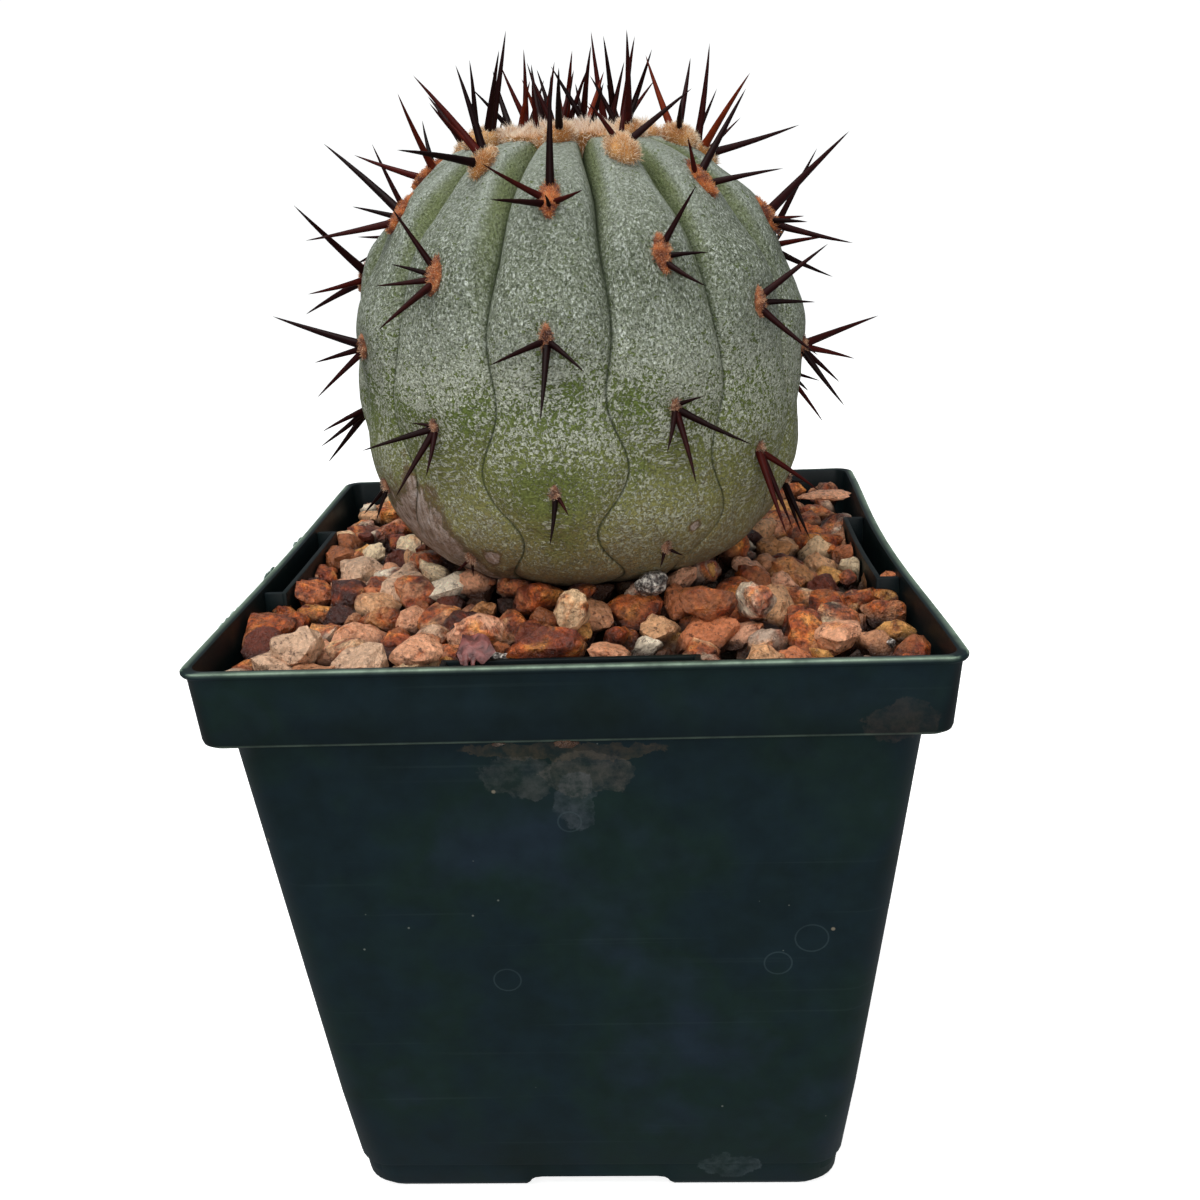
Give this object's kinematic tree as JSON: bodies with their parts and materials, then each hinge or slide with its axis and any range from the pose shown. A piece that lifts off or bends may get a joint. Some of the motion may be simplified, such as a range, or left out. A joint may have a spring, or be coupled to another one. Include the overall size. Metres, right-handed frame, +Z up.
{
  "type": "potted round cactus",
  "caption": "Round ribbed desert cactus with dark spines and a woolly crown, in a square tapered nursery pot topped with crushed stone.",
  "frame": {"origin": "middle of the pot's foot, on the ground", "axes": "+Z up, -Y to the front that shows a single rib in its middle, +X to the viewer's right"},
  "size_m": [0.108, 0.108, 0.1854],
  "materials": {
    "pot": "satin black-green polypropylene, dusty and lightly scratched",
    "potting_mix": "dull, crumbly bark and pumice",
    "gravel": "dry broken granite in tan, pink, rust and grey",
    "cactus": "green skin under a chalky grey wax bloom, with dark horn spines",
    "crown_wool": "soft tan felt and wool"
  },
  "bodies": {
    "root": {"pot": "pot", "potting_mix": "potting_mix", "gravel": "gravel", "cactus": "cactus", "crown_wool": "crown_wool"}
  },
  "joints": []
}
